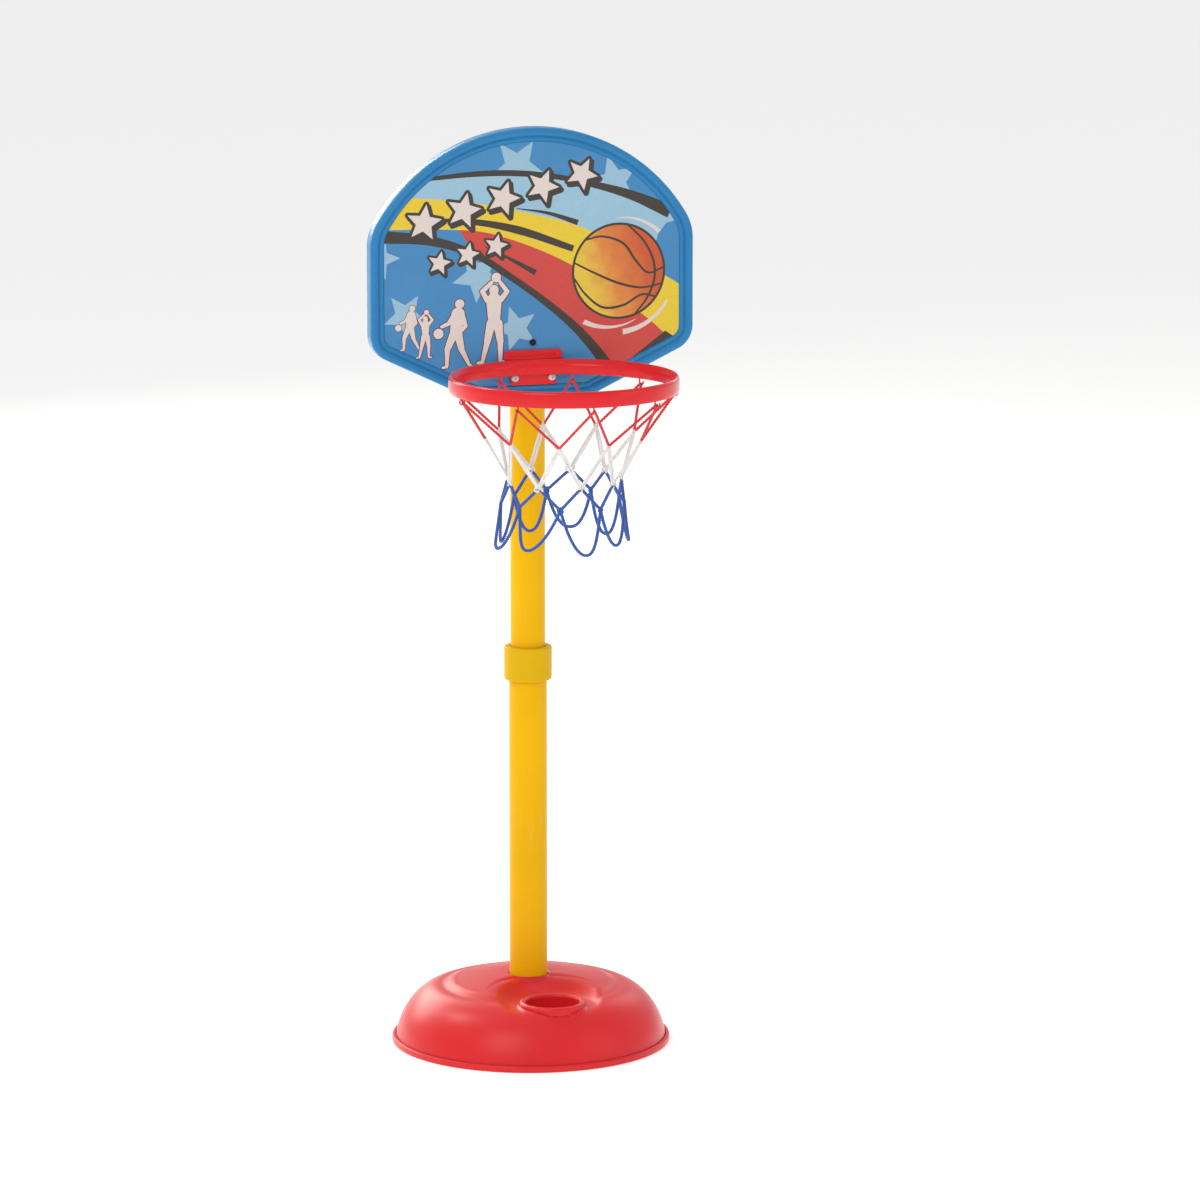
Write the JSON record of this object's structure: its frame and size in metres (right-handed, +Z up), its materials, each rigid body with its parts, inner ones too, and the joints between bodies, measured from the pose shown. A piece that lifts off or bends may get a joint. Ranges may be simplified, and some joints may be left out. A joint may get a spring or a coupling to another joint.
{
  "type": "portable basketball hoop",
  "caption": "Free-standing children's basketball hoop: round ballast base, sliding and turning pole with a lock collar, arched backboard, rim and corded net.",
  "frame": {"origin": "on the floor under the middle of the round base", "axes": "+Z up, -Y to the front, where the rim points at rest, and +X to the object's left seen from behind the backboard looking forward"},
  "size_m": [0.41, 0.4721, 1.15],
  "materials": {
    "tank_red": "satin, fine moulded grain",
    "seal_rubber": "matt",
    "zinc_steel": "zinc plated",
    "black_steel": "blackened",
    "plug_red": "satin",
    "pole_yellow": "satin gloss",
    "collar_yellow": "satin gloss",
    "dark_plastic": "matt",
    "white_plastic": "matt",
    "board_blue": "satin gloss",
    "face_print": "printed film, satin gloss",
    "rim_red": "gloss",
    "cord_red": "braided polyester",
    "cord_white": "braided polyester",
    "cord_blue": "braided polyester"
  },
  "bodies": {
    "base": {"base_shell": "tank_red", "base_pan": "tank_red", "pan_seal": "seal_rubber", "pan_screws": "zinc_steel", "lower_tube": "pole_yellow", "pole_foot": "dark_plastic", "pole_screw": "zinc_steel", "stop_ring": "zinc_steel", "collet_seat": "collar_yellow", "collet": "white_plastic"},
    "plug": {"filler_plug": "plug_red", "plug_seal": "seal_rubber"},
    "collar": {"lock_collar": "collar_yellow"},
    "guide": {"guide_bush": "white_plastic"},
    "head": {"mast_plug": "dark_plastic", "mast_tube": "pole_yellow", "mast_cap": "collar_yellow", "backboard": "board_blue", "face_sheet": "face_print", "mast_clamp_lower": "board_blue", "mast_clamp_upper": "board_blue", "clamp_screws": "zinc_steel", "mast_bolt": "black_steel", "mast_nut": "zinc_steel", "rim": "rim_red", "rim_screws": "zinc_steel", "rim_washers": "zinc_steel", "rim_nuts": "zinc_steel", "net_red": "cord_red", "net_white": "cord_white", "net_blue": "cord_blue", "net_loops": "cord_blue"}
  },
  "joints": [
    {"name": "mast_slide", "type": "slide", "parent": "base", "child": "guide", "axis": [0, 0, 1], "range_m": [-0.3, 0]},
    {"name": "head_swivel", "type": "hinge", "parent": "guide", "child": "head", "pos_m": [0, 0.01, 0.4], "axis": [0, 0, 1], "continuous": true},
    {"name": "collar_twist", "type": "hinge", "parent": "base", "child": "collar", "pos_m": [0, 0.01, 0.48], "axis": [0, 0, 1], "range_deg": [0, 90]},
    {"name": "plug_lift", "type": "slide", "parent": "base", "child": "plug", "axis": [0, 0, 1], "range_m": [0, 0.08]}
  ]
}
